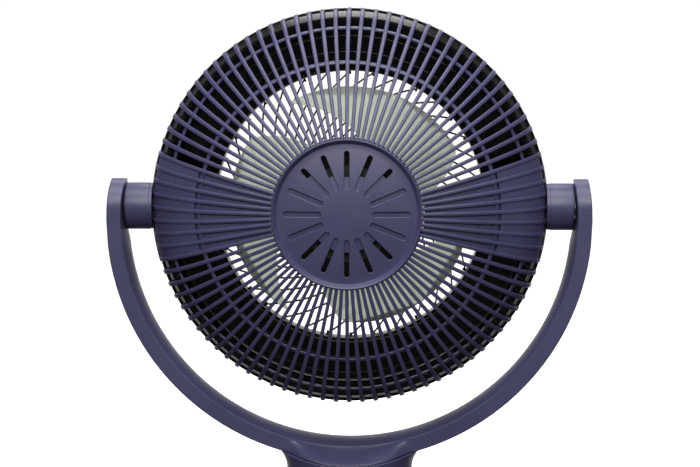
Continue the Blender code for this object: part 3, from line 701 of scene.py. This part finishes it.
def make_front_grille():
    """Spiral ribs from a ring round the cap to the duct's wall, with a tab at each outer end."""
    bm = bmesh.new()
    edge = OUTLET_RADIUS - 0.0001
    inner = CAP_RADIUS + 0.0008
    half = SPIRAL_HALF_WIDTH
    rib_shape = [(-half, -SPIRAL_DEPTH), (half, -SPIRAL_DEPTH), (half, -0.0006)]
    rib_shape += [(half * 0.5, 0), (-half * 0.5, 0), (-half, -0.0006)]
    tab_shape = [(-TAB_HALF_WIDTH, 0), (TAB_HALF_WIDTH, 0)]
    tab_shape += [(TAB_HALF_WIDTH, TAB_LENGTH), (-TAB_HALF_WIDTH, TAB_LENGTH)]
    for rib in range(SPIRAL_COUNT):
        foot = 2 * math.pi * rib / SPIRAL_COUNT
        sections = []
        for step in range(SPIRAL_STEPS + 1):
            radius = inner + 0.001 + (edge - 0.0008 - inner) * step / SPIRAL_STEPS
            angle = foot + math.tan(SPIRAL_SLOPE) * math.log(OUTLET_RADIUS / radius)
            outward = Vector((math.cos(angle), 0, math.sin(angle)))
            sideways = Vector((-math.sin(angle), 0, math.cos(angle)))
            across = sideways * math.cos(SPIRAL_SLOPE) + outward * math.sin(SPIRAL_SLOPE)
            middle = from_axis(angle, radius, spiral_y(radius))
            sections.append([middle + across * a + Vector((0, b, 0)) for a, b in rib_shape])
        skin(bm, sections)
        outward = Vector((math.cos(foot), 0, math.sin(foot)))
        sideways = Vector((-math.sin(foot), 0, math.cos(foot)))
        corner = PIVOT + outward * (edge - TAB_LENGTH) + Vector((0, TAB_Y, 0))
        tab = []
        for y in (0, SPIRAL_DEPTH):
            tab.append([corner + sideways * a + outward * b + Vector((0, y, 0)) for a, b in tab_shape])
        skin(bm, tab)
    high = spiral_y(inner)
    low = high - SPIRAL_DEPTH
    rim = inner + 0.0034
    outline = soften([(inner, low), (rim, low), (rim, high), (inner, high)], 0.0007, 2)
    turn(bm, outline, "Y", PIVOT, 144)
    piece("spiral_grille", bm, "head", "black_shell", "front_grille", crease=40.0)


def make_front_cap():
    """The round cap in the middle of the front grille, with a fine ring on it."""
    face = [(0, 0.0390), (0.0120, 0.0386), (0.0240, 0.0370), (0.0320, 0.0352), (0.0352, 0.0334)]
    outline = smooth_line(face) + [(0.0355, 0.0322), (0.0350, 0.0308), (0.0335, 0.0301), (0, 0.0301)]
    bm = bmesh.new()
    turn(bm, outline, "Y", PIVOT, SMALL_SIDES)
    ring = soften([(0.0262, 0.0350), (0.0272, 0.0350), (0.0272, 0.0371), (0.0262, 0.0371)], 0.0003, 2)
    turn(bm, ring, "Y", PIVOT, SMALL_SIDES)
    piece("front_cap_disc", bm, "head", "black_shell", "front_cap", crease=35.0)


def blade_edges(radius):
    """Trailing and leading edge angles of a blade at a radius."""
    inboard = (TIP_RADIUS - radius) / SWEEP_LENGTH
    trailing = math.radians(TRAILING_AT_TIP - TRAILING_SWEEP * inboard)
    leading = math.radians(LEADING_AT_TIP - LEADING_SWEEP * inboard)
    corner = max(0.0, (radius - (TIP_RADIUS - TIP_CORNER)) / TIP_CORNER)
    pull = TIP_CORNER_PULL * (1 - math.sqrt(max(0.0, 1 - corner**2)))
    return trailing + pull, leading - pull


def blade_section(base, radius):
    """Closed outline of a blade at a radius, thickest in the middle of the chord."""
    trailing, leading = blade_edges(radius)
    front_y = BLADE_Y + BLADE_TIP_RISE * (radius - BLADE_ROOT) / (TIP_RADIUS - BLADE_ROOT)
    front = []
    rear = []
    for step in range(BLADE_CHORD_STEPS + 1):
        share = 0.5 - 0.5 * math.cos(math.pi * step / BLADE_CHORD_STEPS)
        bulge = math.sin(math.pi * share)
        angle = base + trailing + (leading - trailing) * share
        y = front_y - BLADE_PITCH * share - BLADE_CAMBER * bulge
        fullness = BLADE_EDGE_SHARE + (1 - BLADE_EDGE_SHARE) * math.sqrt(max(0.0, bulge))
        half = BLADE_HALF_THICKNESS * fullness
        front.append(from_axis(angle, radius, y + half))
        rear.append(from_axis(angle, radius, y - half))
    return front + rear[::-1]


def make_impeller():
    """A hollow hub with three wide blades."""
    bm = bmesh.new()
    hub = [
        (HUB_RADIUS - 0.0030, -0.0272),
        (HUB_RADIUS, -0.0272),
        (HUB_RADIUS, 0.0070),
        (HUB_RADIUS - 0.0014, 0.0108),
        (0.0395, 0.0144),
        (0.0340, 0.0160),
        (0.0100, 0.0160),
        (0.0090, 0.0163),
        (0.0043, 0.0160),
        (0.0043, -0.0098),
        (0.0098, -0.0098),
        (0.0100, 0.0124),
        (0.0360, 0.0124),
        (HUB_RADIUS - 0.0030, 0.0060),
    ]
    turn(bm, soften(hub, 0.0008, 2), "Y", PIVOT, SMALL_SIDES)
    for blade in range(BLADE_COUNT):
        base = 2 * math.pi * blade / BLADE_COUNT
        sections = []
        for span in range(BLADE_SPAN_STEPS + 1):
            share = 1 - (1 - span / BLADE_SPAN_STEPS) ** BLADE_SPAN_CROWDING
            sections.append(blade_section(base, BLADE_ROOT + (TIP_RADIUS - BLADE_ROOT) * share))
        skin(bm, sections)
    piece("impeller_moulding", bm, "rotor", "grey_impeller", "impeller", crease=40.0)


def make_bosses():
    """The two short drums that join the head to the yoke, rooted in the grille's shoulder."""
    for name, side in (("left", -1), ("right", 1)):
        node = "pivot_boss_" + name
        low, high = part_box(node)
        end = max(abs(low.x), abs(high.x))
        radius = (high.z - low.z) / 2
        collar_start, collar_end = BOSS_COLLAR
        outline = [
            (BOSS_BORE, BOSS_START + 0.008),
            (BOSS_BORE, end - 0.0004),
            (BOSS_BORE + 0.0006, end),
            (collar_start, end),
            (collar_start, end + BOSS_COLLAR_HEIGHT),
            (collar_end, end + BOSS_COLLAR_HEIGHT),
            (collar_end, end),
            (radius - 0.0012, end),
            (radius - 0.0003, end - 0.0004),
            (radius, end - 0.0012),
            (radius, BOSS_START + 0.0026),
            (radius - 0.0004, BOSS_START + 0.0023),
            (radius - 0.0004, BOSS_START),
            (0.0120, BOSS_START),
            (0.0120, BOSS_START + 0.008),
        ]
        bm = bmesh.new()
        turn(bm, [(r, side * x) for r, x in outline], "X", PIVOT, SMALL_SIDES)
        root = []
        for step in range(33):
            angle = math.radians(-100 + 200 * step / 32)
            root.append((radius - 0.0005) * Vector((0, math.cos(angle), math.sin(angle))))
        sections = []
        for x in (BOSS_ROOT, BOSS_START + 0.001):
            sections.append([PIVOT + Vector((side * x, 0, 0)) + point for point in root])
        skin(bm, sections)
        piece("pivot_boss_shell_" + name, bm, "head", "navy_shell", node)


# Yoke and column -------------------------------------------------------------------------------------


def foot_depth(x):
    """Half depth that the yoke's foot swells to at its outer edge, blended into the plain arm."""
    round_part = math.sqrt(max(COLUMN_RADIUS**2 - x**2, 0.0))
    lift = (round_part - YOKE_HALF_DEPTH) / FOOT_BLEND
    if lift > FOOT_BLEND_END:
        return round_part
    return YOKE_HALF_DEPTH + FOOT_BLEND * math.log1p(math.exp(lift))


def yoke_stations(tip_radius):
    """Stations from one arm's tip to the other's.

    Each is (side, height above the tilt axis or None, arc angle, turn of the rounded tip).
    """
    half = []
    for turned in (88, 84, 79, 73, 66, 58, 50, 41, 32, 23, 14, 6):
        half.append((tip_radius * math.sin(math.radians(turned)), None, math.radians(turned)))
    half += [(0.0, None, 0.0), (-0.010, None, 0.0)]
    angle = 84.0
    while angle > 0.6:
        half.append((None, math.radians(angle), 0.0))
        angle -= 1.0 if angle < 20 else 2.5
    right = [(1, *station) for station in half] + [(1, None, 0.0, 0.0)]
    return right + [(-1, *station) for station in half[::-1]]


def yoke_point(station, radius, y):
    side, height, angle, _ = station
    if height is None:
        x, z = side * radius * math.sin(angle), -YOKE_DROP - radius * math.cos(angle)
        return PIVOT + Vector((x, y, z))
    return PIVOT + Vector((side * math.sqrt(radius**2 - (height + YOKE_DROP) ** 2), y, height))


def yoke_half_depth(station, share, x):
    """Half depth of the yoke at a station and a share of its thickness, with rounded edges."""
    depth = YOKE_HALF_DEPTH * math.cos(station[3])
    swell = 0.0
    if station[1] is None:
        swell = foot_depth(x) - YOKE_HALF_DEPTH
        depth += swell * (1 - (1 - share) ** FOOT_SWELL_POWER)
    near_inner = max(0.0, 1 - share / YOKE_INNER_SHARE)
    near_outer = max(0.0, (share - (1 - YOKE_OUTER_SHARE)) / YOKE_OUTER_SHARE)
    roll = min(swell / FOOT_ROLL_SWELL, 1.0) * FOOT_ROLL * max(0.0, 1 - share / FOOT_ROLL_SHARE) ** 2
    rounding = YOKE_OUTER_EDGE * (1 - math.sqrt(max(0.0, 1 - near_outer**2)))
    return max(depth - (YOKE_INNER_EDGE * near_inner + rounding + roll), 0.00005)


def make_yoke():
    """The arc with its plain rear face, which swells into a round foot over the column."""
    bm = bmesh.new()
    sections = []
    shares = [0.0, 0.012, 0.04, 0.09, 0.17, 0.27, 0.38, 0.50]
    shares += [0.62, 0.74, 0.84, 0.92, 0.955, 0.985, 1.0]
    for station in yoke_stations(YOKE_HALF_DEPTH):
        rear = []
        for share in shares:
            point = yoke_point(station, YOKE_INNER + YOKE_THICKNESS * share, 0.0)
            rear.append(Vector((point.x, -yoke_half_depth(station, share, point.x), point.z)))
        edge = -rear[0].y
        inner = [yoke_point(station, YOKE_INNER, -edge + 2 * edge * step / 10) for step in range(1, 10)]
        front = [Vector((point.x, -point.y, point.z)) for point in rear]
        sections.append(rear[::-1] + inner + front)
    skin(bm, sections)
    yoke = piece("yoke_shell", bm, "stand", "navy_shell", "yoke_frame", crease=30.0)
    channel = bmesh.new()
    sections = []
    for station in liner_stations():
        depth = (LINER_HALF_DEPTH + SEAM_GAP) * math.cos(station[3])
        corners = ((YOKE_INNER - 0.004, -depth), (YOKE_INNER + 0.004, -depth))
        corners += ((YOKE_INNER + 0.004, depth), (YOKE_INNER - 0.004, depth))
        sections.append([yoke_point(station, radius, y) for radius, y in corners])
    skin(channel, sections)
    cut(yoke, channel, crease=30.0)


def liner_stations():
    """Stations of the liner strip, from one arm's tip to the other's."""
    return [station for station in yoke_stations(LINER_HALF_DEPTH) if math.degrees(station[3]) < 86]


def liner_crown(station):
    """Height of the strip's crown, which is low beside the boss and full below it."""
    below = 0.0 if station[1] is not None else PIVOT.z - yoke_point(station, YOKE_INNER, 0.0).z
    share = min(max((below - LINER_CROWN_FROM) / LINER_CROWN_OVER, 0.0), 1.0)
    blend = share * share * (3 - 2 * share)
    return LINER_CROWN_AT_BOSS + (LINER_CROWN - LINER_CROWN_AT_BOSS) * blend


def make_liner():
    """The crowned strip let into the inner side of the yoke."""
    bm = bmesh.new()
    sections = []
    for station in liner_stations():
        depth = LINER_HALF_DEPTH * math.cos(station[3])
        section = []
        for step in range(LINER_STEPS + 1):
            share = 2 * step / LINER_STEPS - 1
            crown = liner_crown(station) * (1 - share**2)
            section.append(yoke_point(station, YOKE_INNER + 0.0003 - crown, depth * share))
        section.append(yoke_point(station, YOKE_INNER + 0.003, depth))
        section.append(yoke_point(station, YOKE_INNER + 0.003, -depth))
        sections.append(section)
    skin(bm, sections)
    piece("yoke_liner", bm, "stand", "navy_shell", "yoke_inner_cover", crease=35.0)


def make_column():
    """A round tube whose top follows the yoke's outer curve, flared out where it meets the arms."""
    centre_z = PIVOT.z - YOKE_DROP
    saddle_radius = YOKE_OUTER + SEAM_GAP
    inner = COLUMN_RADIUS - COLUMN_WALL
    sections = []
    for step in range(COLUMN_STEPS):
        angle = 2 * math.pi * step / COLUMN_STEPS
        outward = Vector((math.cos(angle), math.sin(angle), 0))
        flare = COLUMN_FLARE * abs(outward.x) ** 3
        widest = COLUMN_RADIUS + flare

        def place(radius, z):
            return Vector((outward.x * radius, outward.y * radius, z))

        def seam(radius):
            return centre_z - math.sqrt(saddle_radius**2 - (outward.x * radius) ** 2)

        section = [place(COLUMN_RADIUS - 0.0008, COLUMN_FOOT)]
        section.append(place(COLUMN_RADIUS, COLUMN_FOOT + 0.0008))
        top = seam(widest) - 0.0006
        for level in range(13):
            drop = COLUMN_FLARE_LENGTH * (1 - level / 12)
            radius = COLUMN_RADIUS + flare * (1 - drop / COLUMN_FLARE_LENGTH) ** COLUMN_FLARE_POWER
            section.append(place(radius, max(top - drop, COLUMN_FOOT + 0.001)))
        section.append(place(widest - 0.0006, seam(widest - 0.0006)))
        section.append(place(inner, seam(inner)))
        section.append(place(inner, COLUMN_FOOT))
        sections.append(section)
    bm = bmesh.new()
    skin(bm, sections, loop=True)
    floor_z = centre_z - saddle_radius
    low, high = floor_z - 0.004, floor_z - 0.0005
    turn(bm, [(0.0080, low), (inner, low), (inner, high), (0.0080, high)], "Z", (0, 0, 0), SMALL_SIDES)
    piece("column_tube", bm, "stand", "navy_shell", "column_shell", crease=32.0)


def base_outline():
    """Section of the base cover: foot edge, shadow line, round shoulder, groove in the top, wall."""
    foot_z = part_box("base_shell")[0].z
    wall = BASE_RADIUS - BASE_WALL_INSET
    centre = BASE_RADIUS - BASE_CORNER
    outline = [(wall, foot_z), (BASE_RADIUS - 0.0012, foot_z), (BASE_RADIUS - 0.0003, foot_z + 0.0006)]
    outline += [(BASE_RADIUS, foot_z + 0.0016), (BASE_RADIUS, 0.0064), (BASE_RADIUS - 0.0006, 0.0068)]
    outline += [(BASE_RADIUS - 0.0006, 0.0074), (BASE_RADIUS, 0.0078)]
    for step in range(13):
        angle = math.radians(90 * step / 12)
        height = BASE_TOP - BASE_CORNER + BASE_CORNER * math.sin(angle)
        outline.append((centre + BASE_CORNER * math.cos(angle), height))
    outer, middle, inner = BASE_GROOVE
    outline += [(outer, BASE_TOP), (middle, BASE_TOP - BASE_GROOVE_DEPTH), (inner, BASE_TOP)]
    outline += [(BASE_HOLE, BASE_TOP), (BASE_HOLE, BASE_TOP - BASE_TOP_WALL)]
    return outline + [(centre, BASE_TOP - BASE_TOP_WALL), (wall, BASE_TOP - BASE_CORNER)]


def panel_outline(middle, half, inset_x=1.0, inset_y=1.0):
    """Rounded outline of the control panel about its middle, scaled along each side."""
    corners = [(a * half.x, b * half.y) for a, b in ((-1, -1), (1, -1), (1, 1), (-1, 1))]
    rounded = soften(corners, PANEL_CORNER, 5)
    return [(middle.x + a * inset_x, middle.y + b * inset_y) for a, b in rounded]


def make_base():
    """The base cover with its openings, the control panel let into it, and the four keys."""
    bm = bmesh.new()
    turn(bm, base_outline(), "Z", (0, 0, 0), LARGE_SIDES)
    base = piece("base_cover", bm, "base", "navy_shell", "base_shell")
    panel_low, panel_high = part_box("control_panel")
    middle = (panel_low + panel_high) / 2
    half = (panel_high - panel_low) / 2
    bm = bmesh.new()
    hole = panel_outline(middle, half + Vector((SEAM_GAP, SEAM_GAP, 0)))
    skin(bm, [[Vector((x, y, z)) for x, y in hole] for z in PANEL_CUT])
    cut(base, bm)
    jack_low, jack_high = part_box("power_inlet")
    jack = (jack_low + jack_high) / 2
    bm = bmesh.new()
    start, end = JACK_CUT
    hole = [(0, start), (JACK_RADIUS, start), (JACK_RADIUS, end), (0, end)]
    turn(bm, hole, "Y", (0, 0, jack.z), 48)
    cut(base, bm)
    bm = bmesh.new()
    layers = [(0.0004, panel_low.z), (0.0, panel_low.z + 0.0004)]
    layers += [(0.0, panel_high.z - 0.0005), (0.0005, panel_high.z)]
    sections = []
    for inset, z in layers:
        outline = panel_outline(middle, half, 1 - inset / half.x, 1 - inset / half.y)
        sections.append([Vector((x, y, z)) for x, y in outline])
    skin(bm, sections)
    panel = piece("panel_plate", bm, "base", "black_shell", "control_panel")
    for name, body in KEY_BODIES.items():
        make_key(name, body, panel)


def make_key(name, body, panel):
    """A round key with a flange under the panel and a shallow dish with a small ring on its face."""
    low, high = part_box(name)
    top = high.z
    middle = (low + high) / 2
    place = (middle.x, middle.y, 0)
    bm = bmesh.new()
    start, end = KEY_CUT
    hole = [(0, start), (KEY_HOLE_RADIUS, start), (KEY_HOLE_RADIUS, end), (0, end)]
    turn(bm, hole, "Z", place, 48)
    cut(panel, bm)
    outline = [(0, low.z), (KEY_FLANGE_RADIUS, low.z), (KEY_FLANGE_RADIUS, low.z + 0.0017)]
    outline += [(KEY_RADIUS, low.z + 0.0017), (KEY_RADIUS, top - 0.0009), (0.0059, top - 0.0003)]
    outline += [(0.0053, top), (0.0046, top - 0.0001), (0.0030, top - 0.0004), (0, top - 0.0005)]
    bm = bmesh.new()
    turn(bm, outline, "Z", place, 64)
    ring_low, ring_high = top - 0.0008, top - 0.0002
    ring = [(0.0012, ring_low), (0.0019, ring_low), (0.0019, ring_high), (0.0012, ring_high)]
    turn(bm, soften(ring, 0.0002, 2), "Z", place, 40)
    piece(name + "_cap", bm, body, "grey_button", name)


# Stage -----------------------------------------------------------------------------------------------


def make_stage():
    """A pale floor that glows a little, so that it stays light under the object."""
    mesh = bpy.data.meshes.new("floor")
    bm = bmesh.new()
    bmesh.ops.create_grid(bm, x_segments=1, y_segments=1, size=FLOOR_SIZE)
    bm.to_mesh(mesh)
    bm.free()
    floor = bpy.data.objects.new("floor", mesh)
    bpy.context.scene.collection.objects.link(floor)
    floor.location.z = FLOOR_Z
    material = bpy.data.materials.new("pale_floor")
    material.use_nodes = True
    shader = shader_of(material)
    shader.inputs["Base Color"].default_value = (0.86, 0.86, 0.87, 1)
    shader.inputs["Roughness"].default_value = 0.6
    shader.inputs["Emission Color"].default_value = (1, 1, 1, 1)
    shader.inputs["Emission Strength"].default_value = FLOOR_GLOW
    mesh.materials.append(material)
    floor.visible_diffuse = False
    floor.visible_glossy = False


def area_light(name, location, target, size, energy):
    data = bpy.data.lights.new(name, "AREA")
    data.shape = "RECTANGLE"
    data.size, data.size_y = size
    data.energy = energy
    light = bpy.data.objects.new(name, data)
    bpy.context.scene.collection.objects.link(light)
    light.location = location
    light.rotation_euler = (Vector(target) - Vector(location)).to_track_quat("-Z", "Y").to_euler()


def make_world():
    """A bright screen in front of the fan and a dim room behind it; the camera sees plain white."""
    world = bpy.data.worlds.new("studio")
    bpy.context.scene.world = world
    world.use_nodes = True
    tree = world.node_tree
    coords = tree.nodes.new("ShaderNodeTexCoord")
    parts = tree.nodes.new("ShaderNodeSeparateXYZ")
    tree.links.new(coords.outputs["Generated"], parts.inputs["Vector"])
    screen = tree.nodes.new("ShaderNodeMapRange")
    screen.interpolation_type = "SMOOTHSTEP"
    screen.inputs["From Min"].default_value = SCREEN_FROM
    screen.inputs["From Max"].default_value = SCREEN_TO
    screen.inputs["To Min"].default_value = ROOM_LIGHT
    screen.inputs["To Max"].default_value = 1.0
    tree.links.new(parts.outputs["Y"], screen.inputs["Value"])
    path = tree.nodes.new("ShaderNodeLightPath")
    strongest = tree.nodes.new("ShaderNodeMath")
    strongest.operation = "MAXIMUM"
    tree.links.new(screen.outputs["Result"], strongest.inputs[0])
    tree.links.new(path.outputs["Is Camera Ray"], strongest.inputs[1])
    tree.links.new(strongest.outputs["Value"], tree.nodes["Background"].inputs["Strength"])
    tree.nodes["Background"].inputs["Color"].default_value = (1, 1, 1, 1)


def make_lights():
    """Three soft lights: over the object, over the camera and over the front."""
    for light in LIGHTS:
        area_light(*light)
    bpy.context.scene.view_settings.view_transform = "Standard"


def make_camera():
    """Behind the fan, a little above its tilt axis and slightly to the right."""
    data = bpy.data.cameras.new("camera")
    data.sensor_width = CAMERA_SENSOR
    data.lens = CAMERA_LENS
    camera = bpy.data.objects.new("camera", data)
    bpy.context.scene.collection.objects.link(camera)
    level = CAMERA_DISTANCE * math.cos(CAMERA_HEIGHT)
    across, back = level * math.sin(CAMERA_ASIDE), level * math.cos(CAMERA_ASIDE)
    camera.location = PIVOT + Vector((across, -back, CAMERA_DISTANCE * math.sin(CAMERA_HEIGHT)))
    target = PIVOT + Vector(CAMERA_AIM)
    camera.rotation_euler = (target - camera.location).to_track_quat("-Z", "Y").to_euler()
    bpy.context.scene.camera = camera


make_camera()
materials = make_materials()
paint_frame()
make_ribs()
make_rings()
make_side_plates()
make_cover()
make_bracket()
make_shroud()
make_bezel()
make_front_grille()
make_front_cap()
make_impeller()
make_bosses()
make_yoke()
make_liner()
make_column()
make_base()
make_stage()
make_world()
make_lights()
